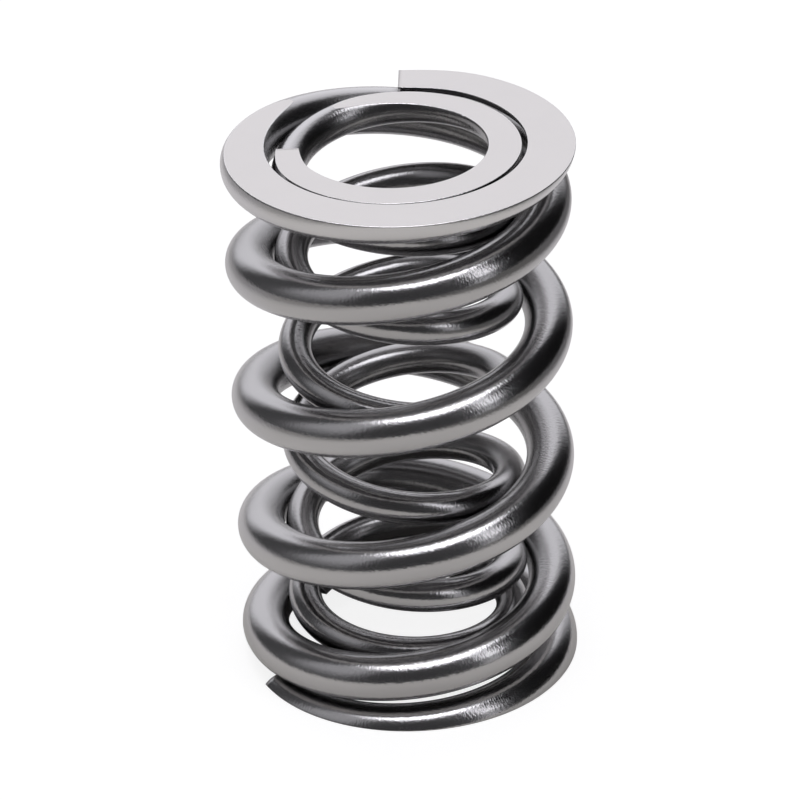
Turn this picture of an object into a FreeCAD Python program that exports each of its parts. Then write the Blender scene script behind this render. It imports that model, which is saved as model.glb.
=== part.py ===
import FreeCAD, Part
import math
import os

# A dual valve spring for an engine: two round-wire compression springs, one nested in the other.
# The outer spring is wound right-hand and the inner one left-hand, so that their turns can't lock together.
# Both have closed ends that are ground flat. All lengths are in millimetres and all angles in degrees.
# The origin is at the centre of the outer spring's lower ground end, and +Z runs up the common axis.
# Angles are counted anticlockwise from +X, seen from above.

doc = FreeCAD.newDocument("valve_spring")


# The driving sizes
# Leads are the rise of the wire in one turn. Turns given for an end are counted from the tip of its wire.

SIZES = [
    ("free_length", 54.9, "height of the outer spring when nothing presses on it"),
    ("outer_od", 33.0, "outside diameter of the outer spring's body"),
    ("outer_wire", 4.6, "wire diameter of the outer spring"),
    ("outer_turns", 5.667, "turns of the outer spring from tip to tip"),
    ("outer_start_angle", 207.7, "where the outer spring's lower tip stands"),
    ("outer_bottom_lead", 4.36, "lead of the closed turn at the outer spring's foot"),
    ("outer_bottom_hold", 0.42, "turns wound at that lead before it starts to open"),
    ("outer_bottom_open", 1.98, "turns from the lower tip to the full lead"),
    ("outer_bottom_tip", 0.75, "thickness that grinding leaves at the lower tip"),
    ("outer_bottom_flare", 0.25, "how much wider the lower tip stands than the body"),
    ("outer_top_lead", 2.52, "lead of the closed turn at the outer spring's head"),
    ("outer_top_hold", 0.01, "turns wound at that lead before it starts to open"),
    ("outer_top_open", 2.04, "turns from the upper tip to the full lead"),
    ("outer_top_tip", 1.08, "thickness that grinding leaves at the upper tip"),
    ("outer_top_flare", 0.6, "how much wider the closed turn at the head stands than the body"),
    ("outer_bend", 0.24, "how far the outer spring's head is bent from an even lead"),
    ("outer_tuck", 0.5, "how far the outer spring's upper tip is tucked in"),
    ("spring_clearance", 0.1, "radial room between the two springs"),
    ("inner_step", 3.25, "how far the inner spring stops short of the outer one's foot"),
    ("inner_wire", 3.2, "wire diameter of the inner spring"),
    ("inner_turns", 6.928, "turns of the inner spring from tip to tip"),
    ("inner_start_angle", 155.2, "where the inner spring's lower tip stands"),
    ("inner_bottom_lead", 3.47, "lead of the closed turn at the inner spring's foot"),
    ("inner_bottom_hold", 0.35, "turns wound at that lead before it starts to open"),
    ("inner_bottom_open", 2.01, "turns from the lower tip to the full lead"),
    ("inner_bottom_tip", 0.85, "thickness that grinding leaves at the lower tip"),
    ("inner_bottom_flare", 0.15, "how much wider the lower tip stands than the body"),
    ("inner_top_lead", 2.74, "lead of the closed turn at the inner spring's head"),
    ("inner_top_hold", 0.08, "turns wound at that lead before it starts to open"),
    ("inner_top_open", 1.89, "turns from the upper tip to the full lead"),
    ("inner_top_tip", 0.45, "thickness that grinding leaves at the upper tip"),
    ("inner_top_flare", 0.3, "how much wider the closed turn at the head stands than the body"),
    ("inner_bend", 0.42, "how far the inner spring's head is bent from an even lead"),
    ("inner_tuck", 0.35, "how far the inner spring's upper tip is tucked in"),
    ("flare_turns", 0.85, "turns over which a flared tip comes in to the body"),
    ("tuck_turns", 0.08, "turns over which a tucked tip comes out to its coil"),
    ("bend_turns", 0.8, "turns from the tip where the bend starts to fade"),
    ("bend_fade", 0.4, "turns over which the bend fades out"),
    ("wheel_overhang", 5.0, "how far the grinding wheels reach past the outer spring's wire"),
]

sheet = doc.addObject("Spreadsheet::Sheet", "sizes")
for row, (alias, value, meaning) in enumerate(SIZES, start=1):
    sheet.set("A%d" % row, alias)
    sheet.set("B%d" % row, str(value))
    sheet.set("C%d" % row, meaning)
    sheet.setAlias("B%d" % row, alias)
doc.recompute()


def size(alias):
    """One driving size, read from the sheet."""
    return float(getattr(sheet, alias))


# The line along the middle of a wire
# The lead is small in the closed turn at each end, then grows smoothly to the full lead of the free turns.
# The full lead isn't a driving size: it follows from the length and the number of turns.

RIGHT_HAND = 1
LEFT_HAND = -1
DEGREES_BETWEEN_POINTS = 15


def eased(share):
    """Goes smoothly from 0 to 1 as the share does."""
    share = min(max(share, 0), 1)
    return share ** 2 * (3 - 2 * share)


class WireEnd:
    """How one end of a spring is wound and ground. Only the heads are bent and tucked."""

    def __init__(self, spring, end):
        self.lead = size("%s_%s_lead" % (spring, end))
        self.hold = size("%s_%s_hold" % (spring, end))
        self.open = size("%s_%s_open" % (spring, end))
        self.flare = size("%s_%s_flare" % (spring, end))
        self.bend = size("%s_bend" % spring) if end == "top" else 0
        self.tuck = size("%s_tuck" % spring) if end == "top" else 0
        # The middle of the wire lies this far outside the ground face at the tip.
        self.overrun = size("%s_wire" % spring) / 2 - size("%s_%s_tip" % (spring, end))

    def opened(self, turns):
        """Turns' worth of full lead gained so far, with the lead easing in between hold and open."""
        ramp = self.open - self.hold
        share = min(max((turns - self.hold) / ramp, 0), 1)
        return ramp * (share ** 3 - share ** 4 / 2) + max(turns - self.open, 0)

    def rise(self, turns, full_lead):
        """Height gained over these turns from the tip. A bend makes it steep at first and then level."""
        bent = self.bend * (1 - eased((turns - size("bend_turns")) / size("bend_fade")))
        even = self.lead * turns + (full_lead - self.lead) * self.opened(turns)
        return even + bent * math.sin(2 * math.pi * turns)

    def widening(self, turns):
        """Extra coil radius this many turns from the tip."""
        tucked = self.tuck * (1 - eased(turns / size("tuck_turns")))
        return self.flare * (1 - eased(turns / size("flare_turns"))) - tucked


def centre_line(spring, hand, mean_radius, foot, length):
    """The wire's middle, as a smooth curve from the lower tip to the upper tip."""
    bottom = WireEnd(spring, "bottom")
    top = WireEnd(spring, "top")
    turns = size("%s_turns" % spring)
    half = turns / 2
    climb = length + bottom.overrun + top.overrun
    closed_climb = bottom.lead * (half - bottom.opened(half)) + top.lead * (half - top.opened(half))
    full_lead = (climb - closed_climb) / (bottom.opened(half) + top.opened(half))

    steps = round(turns * 360 / DEGREES_BETWEEN_POINTS)
    points = []
    for step in range(steps + 1):
        wound = turns * step / steps
        if wound <= half:
            height = foot - bottom.overrun + bottom.rise(wound, full_lead)
        else:
            height = foot + length + top.overrun - top.rise(turns - wound, full_lead)
        radius = mean_radius + bottom.widening(wound) + top.widening(turns - wound)
        angle = math.radians(size("%s_start_angle" % spring) + hand * 360 * wound)
        points.append(FreeCAD.Vector(radius * math.cos(angle), radius * math.sin(angle), height))
    curve = Part.BSplineCurve()
    curve.interpolate(points)
    print("%s: full lead %.2f, smallest gap between turns %.3f" % (
        spring, full_lead, closest_turns(points, turns, steps) - size("%s_wire" % spring)))
    return curve


def closest_turns(points, turns, steps):
    """The smallest distance between the wire's middle and itself one turn further on."""
    one_turn = round(steps / turns)
    return min(points[n].distanceToPoint(points[n + one_turn]) for n in range(len(points) - one_turn))


# A spring: wire swept along its middle line, then ground to length
# A common shape with the space between the two grinding wheels leaves the flats and their thinning run-outs.

def make_spring(spring, hand, mean_radius, foot, foot_rule, length, length_rule):
    """Builds one spring and names it after itself."""
    curve = centre_line(spring, hand, mean_radius, foot, length)
    line = doc.addObject("Part::Feature", "%s_centre_line" % spring)
    line.Shape = curve.toShape()

    section = doc.addObject("Part::Circle", "%s_wire_section" % spring)
    section.setExpression("Radius", "sizes.%s_wire / 2" % spring)
    start = curve.FirstParameter
    along = curve.tangent(start)[0]
    section.Placement = FreeCAD.Placement(
        curve.value(start), FreeCAD.Rotation(FreeCAD.Vector(0, 0, 1), along))

    coil = doc.addObject("Part::Sweep", "%s_coil" % spring)
    coil.Sections = [section]
    coil.Spine = (line, ["Edge1"])
    coil.Solid = True
    coil.Frenet = True

    wheels = doc.addObject("Part::Cylinder", "%s_between_wheels" % spring)
    wheels.setExpression("Radius", "sizes.outer_od / 2 + sizes.wheel_overhang")
    wheels.setExpression("Height", length_rule)
    wheels.setExpression("Placement.Base.z", foot_rule)

    ground = doc.addObject("Part::Common", "%s_spring" % spring)
    ground.Base = coil
    ground.Tool = wheels
    ground.Label = "%s_spring" % spring
    return ground


outer_radius = (size("outer_od") - size("outer_wire")) / 2
outer_bore_radius = size("outer_od") / 2 - size("outer_wire")
inner_radius = outer_bore_radius - size("spring_clearance") - size("inner_wire") / 2

outer_spring = make_spring(
    "outer", RIGHT_HAND, outer_radius,
    foot=0, foot_rule="0 mm",
    length=size("free_length"), length_rule="sizes.free_length")

# The inner spring is level with the outer one at the head, where both press on the retainer.
inner_spring = make_spring(
    "inner", LEFT_HAND, inner_radius,
    foot=size("inner_step"), foot_rule="sizes.inner_step",
    length=size("free_length") - size("inner_step"), length_rule="sizes.free_length - sizes.inner_step")

doc.recompute()


# Checks, then one file for each spring

for item in doc.Objects:
    if "Invalid" in item.State or "Error" in item.State:
        raise RuntimeError("%s failed: %s" % (item.Label, item.State))

os.makedirs("parts", exist_ok=True)
for spring in (outer_spring, inner_spring):
    shape = spring.Shape
    if shape.isNull() or not shape.isValid() or len(shape.Solids) != 1:
        raise RuntimeError("%s isn't one valid solid" % spring.Label)
    box = shape.optimalBoundingBox()
    print("%s: volume %.1f, height %.2f to %.2f, width %.2f by %.2f" % (
        spring.Label, shape.Volume, box.ZMin, box.ZMax, box.XLength, box.YLength))
    shape.exportStep("parts/%s.step" % spring.Label)
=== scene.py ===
# %% [markdown]
# # A dual valve spring in bright steel
#
# An engine valve is closed by a spring. This one is a pair: a stout outer spring wound right-hand, and a
# thinner inner spring wound left-hand, nested so closely that they rub and damp each other. Both are round
# steel wire, with closed ends that are ground flat.
#
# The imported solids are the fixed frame. Everything here is in metres, in the same place as those solids.

# %% Load the frame
import math

import bmesh
import bpy
from mathutils import Matrix, Vector


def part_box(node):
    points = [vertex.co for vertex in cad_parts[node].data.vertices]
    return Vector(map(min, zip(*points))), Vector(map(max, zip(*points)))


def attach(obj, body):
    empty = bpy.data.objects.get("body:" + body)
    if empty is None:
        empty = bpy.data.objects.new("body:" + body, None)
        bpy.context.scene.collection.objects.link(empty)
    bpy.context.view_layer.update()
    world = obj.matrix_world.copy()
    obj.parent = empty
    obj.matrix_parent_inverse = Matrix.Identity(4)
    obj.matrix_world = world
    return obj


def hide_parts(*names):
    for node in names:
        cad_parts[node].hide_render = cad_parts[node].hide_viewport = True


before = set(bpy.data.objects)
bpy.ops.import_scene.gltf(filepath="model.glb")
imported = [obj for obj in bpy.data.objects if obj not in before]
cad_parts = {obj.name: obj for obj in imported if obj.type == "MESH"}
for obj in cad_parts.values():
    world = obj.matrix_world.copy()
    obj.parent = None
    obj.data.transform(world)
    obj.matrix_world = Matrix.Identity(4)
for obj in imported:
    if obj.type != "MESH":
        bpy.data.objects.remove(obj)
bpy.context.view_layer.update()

MM = 0.001
print("nodes in the frame:", sorted(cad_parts))

# %% [markdown]
# ## The line that a wire follows
#
# A spring's wire rises slowly in its closed end turns, and at the full lead in the free turns between.
# Coiling machines ease the one into the other. A screw modifier gives only an even lead, so the line is
# written as a rule, the same one that the solids follow: a low lead held for part of a turn, then a smooth
# ramp up to the full lead. The full lead isn't given. It follows from the height to be climbed and the
# number of turns.
#
# Each closed turn also stands a little wider than the body, because a coiled end springs open when it is
# cut off. The heads show two more marks of closing. The closed turn is bent, so that it leaves its tip
# steeply and then runs almost level, and the tip itself is tucked in.

# %% How one end of a wire is wound
FLARE_TURNS = 0.85
TUCK_TURNS = 0.08
BEND_TURNS = 0.8
BEND_FADE = 0.4


def eased(share):
    """Goes smoothly from 0 to 1 as the share does."""
    share = min(max(share, 0), 1)
    return share ** 2 * (3 - 2 * share)


class WireEnd:
    """One end of a spring's wire. Lengths are in millimetres, and turns are counted from the tip."""

    def __init__(self, lead, hold, opens, tip, flare, bend=0, tuck=0):
        self.lead = lead
        self.hold = hold
        self.opens = opens
        self.tip = tip
        self.flare = flare
        self.bend = bend
        self.tuck = tuck

    def opened(self, turns):
        """Turns' worth of full lead gained so far."""
        ramp = self.opens - self.hold
        share = min(max((turns - self.hold) / ramp, 0), 1)
        return ramp * (share ** 3 - share ** 4 / 2) + max(turns - self.opens, 0)

    def rise(self, turns, full_lead):
        """Height climbed over these turns, steep at first and then nearly level where the end is bent."""
        bent = self.bend * (1 - eased((turns - BEND_TURNS) / BEND_FADE))
        even = self.lead * turns + (full_lead - self.lead) * self.opened(turns)
        return even + bent * math.sin(2 * math.pi * turns)

    def widening(self, turns):
        """Extra coil radius this far from the tip."""
        tucked = self.tuck * (1 - eased(turns / TUCK_TURNS))
        return self.flare * (1 - eased(turns / FLARE_TURNS)) - tucked


# %% [markdown]
# ## A whole spring
#
# A spring joins its two ends: the lower half of the turns is counted up from the foot and the upper half
# down from the head, and both meet in the middle at the full lead. The heights of the foot and the head
# are read from the solid, so that the wound wire stands where the solid does.
#
# A station is a frame on the wire. Its X axis is kept level, so that a grinding wheel, which is level too,
# cuts each section straight across.

# %% A spring's winding
RIGHT_HAND = 1
LEFT_HAND = -1
NUDGE_TURNS = 0.0005


class Spring:
    """A spring's winding. Lengths are in millimetres and angles in degrees."""

    def __init__(self, node, hand, wire, mean_radius, turns, start_angle, bottom, top):
        low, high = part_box(node)
        self.node = node
        self.hand = hand
        self.wire = wire
        self.mean_radius = mean_radius
        self.turns = turns
        self.start_angle = start_angle
        self.bottom = bottom
        self.top = top
        self.foot = low.z / MM
        self.head = high.z / MM
        self.bottom_overrun = wire / 2 - bottom.tip
        self.top_overrun = wire / 2 - top.tip
        self.full_lead = self.lead_that_fits()

    def lead_that_fits(self):
        """The full lead that climbs from foot to head in the given turns."""
        half = self.turns / 2
        opened_below = self.bottom.opened(half)
        opened_above = self.top.opened(half)
        climb = self.head - self.foot + self.bottom_overrun + self.top_overrun
        closed = self.bottom.lead * (half - opened_below) + self.top.lead * (half - opened_above)
        return (climb - closed) / (opened_below + opened_above)

    def place(self, wound):
        """Where the middle of the wire is after this many turns, in metres."""
        left = self.turns - wound
        if wound <= self.turns / 2:
            height = self.foot - self.bottom_overrun + self.bottom.rise(wound, self.full_lead)
        else:
            height = self.head + self.top_overrun - self.top.rise(left, self.full_lead)
        radius = self.mean_radius + self.bottom.widening(wound) + self.top.widening(left)
        angle = math.radians(self.start_angle + self.hand * 360 * wound)
        return Vector((radius * math.cos(angle), radius * math.sin(angle), height)) * MM

    def station(self, wound):
        """A frame on the wire: X points level and away from the spring's axis, and Z runs along the wire."""
        along = (self.place(wound + NUDGE_TURNS) - self.place(wound - NUDGE_TURNS)).normalized()
        outward = along.cross(Vector((0, 0, self.hand))).normalized()
        turned = Matrix((outward, along.cross(outward), along)).transposed().to_4x4()
        return Matrix.Translation(self.place(wound)) @ turned


# %% The two springs' sizes
OUTER_OD = 33.0
OUTER_WIRE = 4.6
INNER_WIRE = 3.2
ROOM_BETWEEN = 0.1

outer = Spring(
    "outer_spring", RIGHT_HAND, OUTER_WIRE,
    mean_radius=(OUTER_OD - OUTER_WIRE) / 2, turns=5.667, start_angle=207.7,
    bottom=WireEnd(lead=4.36, hold=0.42, opens=1.98, tip=0.75, flare=0.25),
    top=WireEnd(lead=2.52, hold=0.01, opens=2.04, tip=1.08, flare=0.6, bend=0.24, tuck=0.5))
inner = Spring(
    "inner_spring", LEFT_HAND, INNER_WIRE,
    mean_radius=OUTER_OD / 2 - OUTER_WIRE - ROOM_BETWEEN - INNER_WIRE / 2, turns=6.928, start_angle=155.2,
    bottom=WireEnd(lead=3.47, hold=0.35, opens=2.01, tip=0.85, flare=0.15),
    top=WireEnd(lead=2.74, hold=0.08, opens=1.89, tip=0.45, flare=0.3, bend=0.42, tuck=0.35))
print("full leads in mm:", round(outer.full_lead, 2), round(inner.full_lead, 2))

# %% [markdown]
# ## The section of a ground wire
#
# The closed ends are pressed between two grinding wheels until they stand square. A wheel cuts the round
# wire's section to a D, and the D is widest at the tip and closes up where the flat runs out, after most of
# a turn. The corners of the D aren't sharp. They are rolled over to a small round, and that round is what
# glints along the rim.
#
# The wound wire could be cut with a plane and its edges bevelled, but the plane crosses the faces at a
# slant and leaves slivers along the run-out. Here each half of the section, from the side away from the
# wheel to the side next to it, is a run of points. The first share of them stays on the circle, the next
# goes round the corner and the last lies on the flat. So the edges of the flat follow the net's own lines.
# Where no wheel cuts, all the points are on the circle. Towards a flat they gather at the top of it, so that
# the flat opens out of them without a step.

# %% One point of the section
SIDES = 64
BODY_SHARE = 44 / SIDES
RIM_SHARE = 8 / SIDES
RIM_ROUND = 0.16
GATHERING = 1.2
QUARTER_TURN = math.pi / 2


def on_circle(side, radius, climb):
    """Across and up, on the round part of the section."""
    return side * radius * math.cos(climb), radius * math.sin(climb)


def on_body(side, share, radius, meets):
    """A point of the first share, which climbs the circle to where the next share meets it."""
    return on_circle(side, radius, (meets + QUARTER_TURN) * share / BODY_SHARE - QUARTER_TURN)


def on_round_section(side, share, radius, reach):
    """A point where the wheel is clear of the wire. Points gather at the top as the wheel comes near."""
    even = BODY_SHARE * math.pi - QUARTER_TURN
    meets = QUARTER_TURN + (even - QUARTER_TURN) * eased((reach - radius) / GATHERING)
    if share > BODY_SHARE:
        beyond = (share - BODY_SHARE) / (1 - BODY_SHARE)
        return on_circle(side, radius, meets + (QUARTER_TURN - meets) * beyond)
    return on_body(side, share, radius, meets)


def on_cut_section(side, share, radius, reach):
    """A point where the wheel cuts the wire: on the circle, round the rim or on the flat."""
    # A corner near the tip is thin, and is rounded less.
    corner = RIM_ROUND * (radius + reach) / (2 * radius)
    flat_half = math.sqrt((radius - corner) ** 2 - (reach - corner) ** 2)
    meets = math.atan2(reach - corner, flat_half)
    if share <= BODY_SHARE:
        return on_body(side, share, radius, meets)
    beyond = share - BODY_SHARE - RIM_SHARE
    turn = QUARTER_TURN + (QUARTER_TURN - meets) * min(beyond, 0) / RIM_SHARE
    across = flat_half + corner * math.cos(turn)
    if beyond > 0:
        across = flat_half * (1 - beyond / (1 - BODY_SHARE - RIM_SHARE))
    return side * across, reach - corner + corner * math.sin(turn)


def section_point(side, share, radius, reach):
    """Across and up from the wire's middle, for a share of the way to a wheel that is this far above it."""
    on_section = on_round_section if reach >= radius else on_cut_section
    return on_section(side, share, radius, reach)


flat_edge, _ = section_point(1, BODY_SHARE + RIM_SHARE, outer.wire / 2, -outer.top_overrun)
print("the flat at the outer head's tip is", round(2 * flat_edge, 2), "mm wide")

# %% [markdown]
# ## Stations along the wire
#
# The sections stand on stations along the wire, close enough together that the turns look round. The
# length of wire before each station is kept, because the marks on the wire are laid out along it.

# %% Stations and wheels
STATIONS_PER_TURN = 200


def stations_along(spring):
    """Frames all along the wire, and the length of wire before each of them in metres."""
    steps = round(spring.turns * STATIONS_PER_TURN)
    stations = [spring.station(spring.turns * step / steps) for step in range(steps + 1)]
    lengths = [0.0]
    for here, there in zip(stations, stations[1:]):
        lengths.append(lengths[-1] + (there.translation - here.translation).length)
    return stations, lengths


def wheel_at(spring, station, near_head):
    """How far the nearer wheel is from the wire's middle, and which way it lies along the station's Y."""
    height = station.translation.z / MM
    # A level wheel meets a section that leans with the wire's climb a little further out.
    lean = station.to_3x3()[2][1]
    reach = (spring.head - height if near_head else height - spring.foot) / abs(lean)
    return reach, math.copysign(1, lean) * (1 if near_head else -1)


# %% [markdown]
# ## Winding the wire
#
# Bright metal shows every facet, so the wire is wound afresh as an even net of faces round and along it.
# The net starts as a flat grid. One pass over its points rolls the grid round the wire and winds it along
# the line, and the seam is then merged. Extruding a ring step by step gives the same net, but hundreds of
# small operations take long.
#
# Each point also remembers where it was on the straight wire, before coiling. Marks that follow the wire,
# such as those of drawing and grinding, read that place later. The points of a rim are marked too.

# %% Wind one spring
STRAIGHT = "straight_wire"
RIM = "rim"
TOUCH = 0.001
RIM_APPEARS = 0.5
SEAM_WIDTH = MM / 1000


def wind(spring):
    """The whole wire of a spring as an open tube, with both ends ground."""
    stations, lengths = stations_along(spring)
    steps = len(stations) - 1
    radius = spring.wire / 2
    net = bmesh.new()
    straight = net.verts.layers.float_vector.new(STRAIGHT)
    rim = net.verts.layers.float.new(RIM)
    bmesh.ops.create_grid(net, x_segments=steps, y_segments=SIDES, size=1)
    for point in net.verts:
        step = round((point.co.x + 1) / 2 * steps)
        near_head = step > steps / 2
        # The grid's middle line is the top of the wire, and its two edges are the bottom.
        side = -1 if point.co.y > 0 else 1
        share = 1 - abs(point.co.y) if near_head else abs(point.co.y)
        reach, wheel = wheel_at(spring, stations[step], near_head)
        across, up = section_point(side, share, radius, reach)
        section = Vector((across, up * wheel, 0))
        on_rim = BODY_SHARE + TOUCH < share < BODY_SHARE + RIM_SHARE + TOUCH
        point[rim] = eased((radius - reach) / RIM_APPEARS) if on_rim else 0
        point[straight] = section.normalized() * radius * MM + Vector((0, 0, lengths[step]))
        point.co = stations[step] @ (section * MM)
    bmesh.ops.remove_doubles(net, verts=net.verts, dist=SEAM_WIDTH)
    print(spring.node, "has", round(lengths[-1] / MM), "mm of wire in", len(net.faces), "faces")
    return net


# %% [markdown]
# ## Closing the ends
#
# The wire was cut off square before it was ground, so each tip is a flat face. The two open ends of the
# tube are filled, and the faces that lie on a wheel's plane get the ground finish.

# %% Close the ends and mark the flats
GROUND = 1


def close_ends(net, spring):
    """Fills the tips and marks the faces that the wheels have ground."""
    open_edges = [edge for edge in net.edges if edge.is_boundary]
    cut_ends = bmesh.ops.holes_fill(net, edges=open_edges)["faces"]
    bmesh.ops.recalc_face_normals(net, faces=net.faces)
    for face in net.faces:
        heights = [corner.co.z / MM for corner in face.verts]
        on_wheel = min(heights) > spring.head - TOUCH or max(heights) < spring.foot + TOUCH
        face.material_index = GROUND if on_wheel else 0
        face.smooth = face not in cut_ends
    print(spring.node, "has", len(cut_ends), "cut ends")


# %% [markdown]
# ## Writing a finish as sums
#
# A finish is a tree of nodes. To keep its sums readable, a value in the tree is wrapped in a small class
# whose plus, minus and times add the matching Math node. Every other node is made by one method, which
# takes the node's kind, its settings and what goes into its sockets.

# %% Values and nodes of a finish
class Value:
    """An output socket. Sums on it add Math nodes."""

    def __init__(self, finish, socket):
        self.finish = finish
        self.socket = socket

    def sum_with(self, operation, first, second):
        return self.finish.node("Math", {"operation": operation}, {0: first, 1: second})

    def __add__(self, other):
        return self.sum_with("ADD", self, other)

    def __radd__(self, other):
        return self.sum_with("ADD", other, self)

    def __sub__(self, other):
        return self.sum_with("SUBTRACT", self, other)

    def __rsub__(self, other):
        return self.sum_with("SUBTRACT", other, self)

    def __mul__(self, other):
        return self.sum_with("MULTIPLY", self, other)

    def __rmul__(self, other):
        return self.sum_with("MULTIPLY", other, self)


class Finish:
    """A node tree that is being written, of a material or of the world."""

    def __init__(self, owner):
        owner.use_nodes = True
        self.tree = owner.node_tree
        self.tree.nodes.clear()

    def node(self, kind, settings=None, sockets=None, output=0):
        """One node: its settings first, then its sockets, which take numbers, colours or values."""
        made = self.tree.nodes.new("ShaderNode" + kind)
        for name, setting in (settings or {}).items():
            setattr(made, name, setting)
        for name, given in (sockets or {}).items():
            if isinstance(given, Value):
                self.tree.links.new(given.socket, made.inputs[name])
            else:
                made.inputs[name].default_value = given
        return Value(self, made.outputs[output]) if made.outputs else None

    def fade(self, value, start, end):
        """0 up to start, 1 from end on, and a smooth rise between. With end below start it falls."""
        if start > end:
            return 1 - self.fade(value, end, start)
        return self.node("MapRange", {"interpolation_type": "SMOOTHSTEP"},
                         {"Value": value, "From Min": start, "From Max": end})

    def blend(self, share, first, second):
        """A colour between two colours."""
        return self.node("Mix", {"data_type": "RGBA"}, {0: share, 6: first, 7: second}, output=2)

    def size_of(self, value):
        """A value without its sign."""
        return self.node("Math", {"operation": "ABSOLUTE"}, {0: value})

    def split(self, vector):
        """The X, Y and Z of a vector."""
        parts = self.node("SeparateXYZ", None, {0: vector})
        return [Value(self, socket) for socket in parts.socket.node.outputs]

    def bare_metal(self, colour, roughness, marks, depth, strength=1.0):
        """Metal of this colour and roughness, with marks of this depth."""
        bump = self.node("Bump", None, {"Strength": strength, "Distance": depth, "Height": marks})
        steel = self.node("BsdfPrincipled", None,
                          {"Base Color": colour, "Metallic": 1.0, "Roughness": roughness, "Normal": bump})
        self.node("OutputMaterial", None, {"Surface": steel})


def toned(colour, share=1.0):
    """A colour made darker or brighter by this share, as a socket wants it."""
    return tuple(part * share for part in colour) + (1.0,)


# %% [markdown]
# ## Marks on the wire
#
# Spring wire is drawn, ground and polished, so it is bright but not a mirror. Under a glass it has fine
# scratches that run askew round it, left by the grinding, and faint lines along it, left by the drawing
# die. They show only where a bright reflection ends, which they break up into specks. Picture textures
# would need unwrapping. Noise stretched over the straight wire needs none, and bends with the wire.

# %% Noise that follows the wire
MARK_DETAIL = 2.0


def wire_marks(finish, size_round, size_along):
    """Cloudy values with marks this big round and along the straight wire, in millimetres."""
    straight = finish.node("Attribute", {"attribute_name": STRAIGHT}, output="Vector")
    stretch = (1 / (size_round * MM), 1 / (size_round * MM), 1 / (size_along * MM))
    place = finish.node("VectorMath", {"operation": "MULTIPLY"}, {0: straight, 1: stretch})
    return finish.node("TexNoise", None, {"Vector": place, "Scale": 1.0, "Detail": MARK_DETAIL})


# %% [markdown]
# ## Painted shade in the gaps and on the inner sides
#
# The inner side of each turn and the narrow gaps between turns get painted shade: their colour is darkened
# where shade falls. So does, more faintly, the inner spring where it faces the outer one. The sides are found
# from the place on the straight wire, whose X points away from the spring's axis. The gaps are found with
# Ambient Occlusion, which counts how much of the surroundings is open. Painting them by hand would need an
# unwrapped picture.

# %% Painted shade in gaps and on sides
GAP_REACH = 2.5 * MM
GAP_SAMPLES = 4
GAP_OPEN = 0.7
GAP_CLOSED = 0.2
SIDE_STARTS = 0.1
SIDE_FULL = 0.7


def painted_side_shade(finish, spring, inside, outside):
    """How much painted shade the sides of the wire get that face the spring's axis and that face away from
    it.
    """
    straight = finish.node("Attribute", {"attribute_name": STRAIGHT}, output="Vector")
    outward = finish.split(straight)[0] * (2 / (spring.wire * MM))
    return (finish.fade(outward, SIDE_STARTS, -SIDE_FULL) * inside
            + finish.fade(outward, SIDE_STARTS, SIDE_FULL) * outside)


def painted_gap_shade(finish):
    """1 deep in a narrow gap and 0 in the open."""
    openness = finish.node("AmbientOcclusion", {"samples": GAP_SAMPLES}, {"Distance": GAP_REACH}, output="AO")
    return finish.fade(openness, GAP_OPEN, GAP_CLOSED)


# %% [markdown]
# ## The rims of the flats
#
# The small round between the wire and a flat catches the overhead light as a fine white line, with a dark
# line
# under it. Both lines are also painted: the round's upper part is painted near white, a painted highlight,
# and its lower part is painted dark, a painted dark line. How level the surface is tells the two apart, and
# it is read from the normal.

# %% The painted dark part of a rim
LEVEL_ABOVE = 0.74
STEEP_BELOW = 0.66


def rim_and_dark_line(finish):
    """Two masks: the whole rim, and its steep lower part, which is painted dark."""
    rim = finish.node("Attribute", {"attribute_name": RIM}, output="Fac")
    level = finish.size_of(finish.split(finish.node("TexCoord", output="Normal"))[2])
    return rim, rim * finish.fade(level, LEVEL_ABOVE, STEEP_BELOW)


# %% [markdown]
# ## The wire's finish
#
# The marks, the painted shade and the rims with their painted lines go over one plain metal. Its colour
# wanders a little in soft clouds, and it is brighter within a few millimetres of the head.

# %% Finish of the wire
CLOUD_TONE = 0.86
HEAD_TONE = 1.2
PAINTED_SHADE_TONE = 0.45
DARK_LINE_TONE = 0.2
PAINTED_GLINT = (0.96, 0.95, 0.95, 1.0)
PALER_STARTS = 2.4
PALER_FULL = 1.0
CLOUD_ROUGHNESS = 0.10
DARK_LINE_ROUGHNESS = 0.15
SHADED_SIDE_ROUGHNESS = 0.08
DRAW_MARK_SHARE = 0.03
MARK_DEPTH = 0.02 * MM
RIM_MARK_DEPTH = 0.05 * MM


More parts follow.
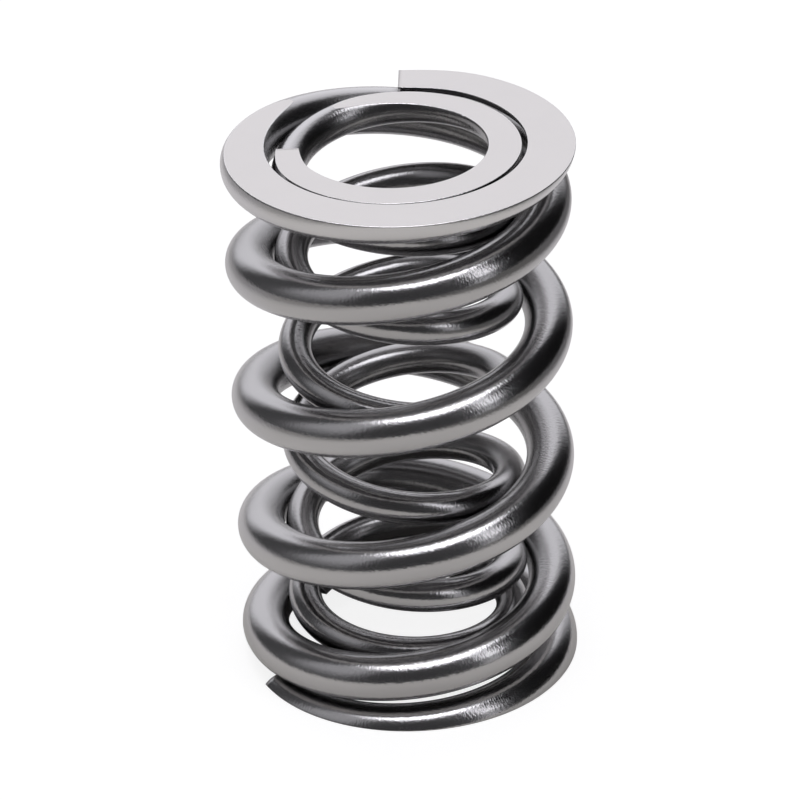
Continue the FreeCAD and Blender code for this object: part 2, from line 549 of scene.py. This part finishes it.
def wire_finish(spring, name, colour, roughness, shade_inside, shade_outside):
    """Bright spring wire with its marks, its painted shade and the painted lines on the rims of its flats."""
    material = bpy.data.materials.new(name)
    finish = Finish(material)
    clouds = wire_marks(finish, size_round=4.0, size_along=9.0)
    scratches = wire_marks(finish, size_round=0.32, size_along=0.18)
    draw_marks = wire_marks(finish, size_round=0.16, size_along=14.0)
    sides = painted_side_shade(finish, spring, shade_inside, shade_outside)
    rim, painted_dark_line = rim_and_dark_line(finish)
    height = finish.split(finish.node("TexCoord", output="Object"))[2]
    # The wire's colour is made brighter within a few millimetres of the head.
    polish = finish.fade(height, (spring.head - PALER_STARTS) * MM, (spring.head - PALER_FULL) * MM)

    paint = finish.blend(clouds, toned(colour, CLOUD_TONE), toned(colour))
    paint = finish.blend(polish, paint, toned(colour, HEAD_TONE))
    # Painted shade: the gaps between turns and the sides that face the other spring are darkened.
    paint = finish.blend(sides + painted_gap_shade(finish), paint, toned(colour, PAINTED_SHADE_TONE))
    # Painted shade: the steep lower part of each rim is darkened to a dark line.
    paint = finish.blend(painted_dark_line, paint, toned(colour, DARK_LINE_TONE))
    # Painted highlight: the level upper part of each rim is near white, a painted glint.
    paint = finish.blend(rim - painted_dark_line, paint, PAINTED_GLINT)
    rough = roughness + clouds * CLOUD_ROUGHNESS + painted_dark_line * DARK_LINE_ROUGHNESS + sides * SHADED_SIDE_ROUGHNESS
    marks = scratches + draw_marks * DRAW_MARK_SHARE
    finish.bare_metal(paint, rough, marks, MARK_DEPTH + rim * RIM_MARK_DEPTH)
    print(name, "has", len(finish.tree.nodes), "nodes")
    return material


# %% [markdown]
# ## The ground flats
#
# The wheels leave the ends paler and duller than the wire: a satin face of very fine marks that lie all
# ways. Noise on the piece's own coordinates is enough for that.

# %% Finish of the flats
GRIT_SCALE = 2600.0
GRIT_DETAIL = 3.0
GRIT_DEPTH = 0.004 * MM
GRIT_STRENGTH = 0.2
STAIN_SCALE = 240.0
STAIN_DETAIL = 2.0
STAIN_TONE = 0.93
FLAT_ROUGHNESS = 0.34
STAIN_ROUGHNESS = 0.08


def flat_finish(name, colour):
    """The satin face that a grinding wheel leaves."""
    material = bpy.data.materials.new(name)
    finish = Finish(material)
    place = finish.node("TexCoord", output="Object")
    grit = finish.node("TexNoise", None, {"Vector": place, "Scale": GRIT_SCALE, "Detail": GRIT_DETAIL})
    stains = finish.node("TexNoise", None, {"Vector": place, "Scale": STAIN_SCALE, "Detail": STAIN_DETAIL})
    paint = finish.blend(stains, toned(colour, STAIN_TONE), toned(colour))
    rough = FLAT_ROUGHNESS + stains * STAIN_ROUGHNESS
    finish.bare_metal(paint, rough, grit, GRIT_DEPTH, GRIT_STRENGTH)
    print(name, "has", len(finish.tree.nodes), "nodes")
    return material


# %% [markdown]
# ## Both springs
#
# Each wound wire takes the place of its solid. Nothing moves, so both ride on the part's one body.

# %% Make both springs
def make_spring(spring, name, finishes):
    """A finished spring in place of its solid."""
    net = wind(spring)
    close_ends(net, spring)
    mesh = bpy.data.meshes.new(name)
    net.to_mesh(mesh)
    net.free()
    for finish in finishes:
        mesh.materials.append(finish)
    piece = bpy.data.objects.new(name, mesh)
    bpy.context.scene.collection.objects.link(piece)
    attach(piece, "root")
    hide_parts(spring.node)
    print(name, "has", len(mesh.polygons), "faces")


ground_steel = flat_finish("ground_steel", (0.885, 0.86, 0.85))
outer_steel = wire_finish(
    outer, "outer_wire_steel", (0.62, 0.612, 0.62), roughness=0.14, shade_inside=0.8, shade_outside=0.0)
# The inner wire's colour is a little darker than the outer's, a painted shade for the outer spring around it.
inner_steel = wire_finish(
    inner, "inner_wire_steel", (0.60, 0.592, 0.60), roughness=0.115, shade_inside=0.8, shade_outside=0.2)
make_spring(outer, "outer_spring_wound", [outer_steel, ground_steel])
make_spring(inner, "inner_spring_wound", [inner_steel, ground_steel])

# %% [markdown]
# ## The studio
#
# Polished metal has hardly any colour of its own: what is seen in it is the room. Area lamps and cards could
# stand round the object, but their shapes are easier to place as patches of light and dark in the world,
# each given by its azimuth and its height in degrees. The camera itself sees plain white.

# %% Directions in the world
DEGREES = 180 / math.pi

world = bpy.data.worlds.new("studio")
bpy.context.scene.world = world
studio = Finish(world)
direction = studio.split(studio.node("TexCoord", output="Generated"))
azimuth = studio.node("Math", {"operation": "ARCTAN2"}, {0: direction[1], 1: direction[0]}) * DEGREES
elevation = studio.node("Math", {"operation": "ARCSINE"}, {0: direction[2]}) * DEGREES


def patch(left, right, low, high, soft_side, soft_top):
    """1 inside a patch of the studio's walls, in degrees, and 0 outside, with soft edges."""
    turned = azimuth - (left + right) / 2
    side = studio.size_of(studio.node("Math", {"operation": "WRAP"}, {0: turned, 1: 180, 2: -180}))
    rise = studio.size_of(elevation - (low + high) / 2)
    wide = (right - left) / 2
    tall = (high - low) / 2
    return (studio.fade(side, wide + soft_side / 2, wide - soft_side / 2)
            * studio.fade(rise, tall + soft_top / 2, tall - soft_top / 2))


def round_patch(towards, tilt, half_angle, soft):
    """1 inside a round patch near the top of the studio, and 0 outside."""
    lean = math.radians(tilt)
    turn = math.radians(towards)
    middle = (math.sin(lean) * math.cos(turn), math.sin(lean) * math.sin(turn), math.cos(lean))
    facing = direction[0] * middle[0] + direction[1] * middle[1] + direction[2] * middle[2]
    angle = studio.node("Math", {"operation": "ARCCOSINE"}, {0: facing}) * DEGREES
    return studio.fade(angle, half_angle + soft / 2, half_angle - soft / 2)


# %% [markdown]
# ## Lamps and cards
#
# A white card stands behind the object, and the ground flats mirror it. A dimmer card hangs at the left. A
# black card at the right gives the wire its dark side. Between that card and the camera stands a narrow
# strip light, dimmer in its lower half, which draws the bright lines at the right of the turns. A big soft
# light hangs overhead, and its reflection is the streak on the front of the turns. Each is put over the
# ones before it. The light is a trace cooler than white.

# %% Light the studio
WALL_LIGHT = 0.052
LEFT_WALL_LIGHT = 0.035
BACK_CARD_LIGHT = 0.88
LEFT_CARD_LIGHT = 0.42
BLACK_CARD_LIGHT = 0.006
LOWER_STRIP_LIGHT = 0.6
UPPER_STRIP_LIGHT = 1.9
OVERHEAD_LIGHT = 3.6
LIGHT_TINT = (0.985, 0.98, 1.02)
WHITE = (1.0, 1.0, 1.0, 1.0)

left_wall = patch(left=150, right=225, low=-90, high=90, soft_side=60, soft_top=10)
back_card = patch(left=53, right=130, low=2, high=57, soft_side=24, soft_top=14)
left_card = patch(left=-184, right=-134, low=22, high=80, soft_side=14, soft_top=45)
black_card = patch(left=-21, right=46, low=-60, high=64, soft_side=14, soft_top=12)
lower_strip = patch(left=-45, right=-33, low=-10, high=25, soft_side=8, soft_top=10)
upper_strip = patch(left=-45, right=-33, low=25, high=76, soft_side=8, soft_top=8)
overhead = round_patch(towards=-90, tilt=7, half_angle=20, soft=9)

walls = WALL_LIGHT + left_wall * LEFT_WALL_LIGHT
for shape, strength in (
        (back_card, BACK_CARD_LIGHT),
        (left_card, LEFT_CARD_LIGHT),
        (black_card, BLACK_CARD_LIGHT),
        (lower_strip, LOWER_STRIP_LIGHT),
        (upper_strip, UPPER_STRIP_LIGHT),
        (overhead, OVERHEAD_LIGHT)):
    walls = walls + shape * (strength - walls)

channels = {channel: walls * share for channel, share in enumerate(LIGHT_TINT)}
tinted = studio.node("CombineColor", None, channels)
seen_by_camera = studio.node("LightPath", output="Is Camera Ray")
shown = studio.blend(seen_by_camera, tinted, WHITE)
light = studio.node("Background", None, {"Color": shown, "Strength": 1.0})
studio.node("OutputWorld", None, {"Surface": light})
print("the studio has", len(studio.tree.nodes), "nodes")

# %% [markdown]
# ## The floor
#
# The floor is pale paper. Its colour carries a painted pool of light behind the object, where the white card
# lights it, and painted shade far out to both sides and inside the spring, where little light comes, and the
# metal shows it so. The camera sees it lifted to white, with a share of the real shading left in, which keeps
# a faint shadow.

# %% Paper
NEAR_PAPER = (0.88, 0.86, 0.81, 1.0)
FAR_PAPER = (0.96, 0.94, 0.92, 1.0)
SEEN_PAPER = (0.95, 0.95, 0.95, 1.0)
BLACK = (0.0, 0.0, 0.0, 1.0)
RIGHT_DARKNESS = 0.75
LEFT_DARKNESS = 0.45
INSIDE_DARKNESS = 0.75
LIFTED_WHITE = 1.22
SHADOW_SHARE = 0.3

paper = bpy.data.materials.new("paper")
sheet = Finish(paper)
place = sheet.node("TexCoord", output="Object")
to_right, to_back, _ = sheet.split(place)
from_middle = sheet.node("VectorMath", {"operation": "LENGTH"}, {0: place}, output="Value")


def ramp(distance, starts, full):
    """0 where it starts and 1 where it is full, at distances in millimetres."""
    return sheet.fade(distance, starts * MM, full * MM)


# Painted shade on the paper far out to both sides and inside the spring, and a painted pool of light behind
# it.
in_dark = (ramp(to_right, starts=55, full=130) * RIGHT_DARKNESS
           + ramp(to_right, starts=-60, full=-220) * LEFT_DARKNESS
           + ramp(from_middle, starts=14, full=8) * INSIDE_DARKNESS)
behind = ramp(to_back, starts=-15, full=45)
seen_by_camera = sheet.node("LightPath", output="Is Camera Ray")
colour = sheet.blend(behind, NEAR_PAPER, FAR_PAPER)
colour = sheet.blend(in_dark, colour, BLACK)
colour = sheet.blend(seen_by_camera, colour, SEEN_PAPER)
shaded = sheet.node("BsdfDiffuse", None, {"Color": colour})
lifted = sheet.node("Emission", None, {"Color": WHITE, "Strength": LIFTED_WHITE})
surface = sheet.node("MixShader", None, {0: seen_by_camera * (1 - SHADOW_SHARE), 1: shaded, 2: lifted})
sheet.node("OutputMaterial", None, {"Surface": surface})

# %% Floor
FLOOR_HALF = 3.0
FLOOR_DROP = 0.02 * MM

net = bmesh.new()
bmesh.ops.create_grid(net, x_segments=1, y_segments=1, size=FLOOR_HALF)
bmesh.ops.translate(net, verts=net.verts, vec=(0, 0, -FLOOR_DROP))
mesh = bpy.data.meshes.new("floor")
net.to_mesh(mesh)
net.free()
mesh.materials.append(paper)
floor = bpy.data.objects.new("floor", mesh)
bpy.context.scene.collection.objects.link(floor)
print("the floor is", 2 * FLOOR_HALF, "m wide")

# %% [markdown]
# ## The camera
#
# The photograph was taken from about half a metre away with a long lens, looking down at about 30 degrees,
# with the camera turned a little clockwise.

# %% Camera
CAMERA_ELEVATION = 29.52
CAMERA_ROLL = 1.71
CAMERA_DISTANCE = 459.4 * MM
CAMERA_AIM = Vector((-0.27, 0, 27.4)) * MM
FOCAL_PIXELS = 4753.6
IMAGE_PIXELS = 800
SENSOR_WIDTH = 36
CLIP_START = 0.01

lean = math.radians(CAMERA_ELEVATION)
roll = math.radians(CAMERA_ROLL)
forward = Vector((0, math.cos(lean), -math.sin(lean)))
level_up = Vector((0, math.sin(lean), math.cos(lean)))
level_right = Vector((1, 0, 0))
right = level_right * math.cos(roll) - level_up * math.sin(roll)
up = level_right * math.sin(roll) + level_up * math.cos(roll)

lens = bpy.data.cameras.new("camera")
lens.sensor_width = SENSOR_WIDTH
lens.lens = FOCAL_PIXELS / IMAGE_PIXELS * SENSOR_WIDTH
lens.clip_start = CLIP_START
camera = bpy.data.objects.new("camera", lens)
camera.matrix_world = Matrix.Translation(CAMERA_AIM - forward * CAMERA_DISTANCE) @ Matrix(
    (right, up, -forward)).transposed().to_4x4()
bpy.context.scene.collection.objects.link(camera)
bpy.context.scene.camera = camera
bpy.context.scene.view_settings.view_transform = "Standard"
print("the lens is", round(lens.lens), "mm long")
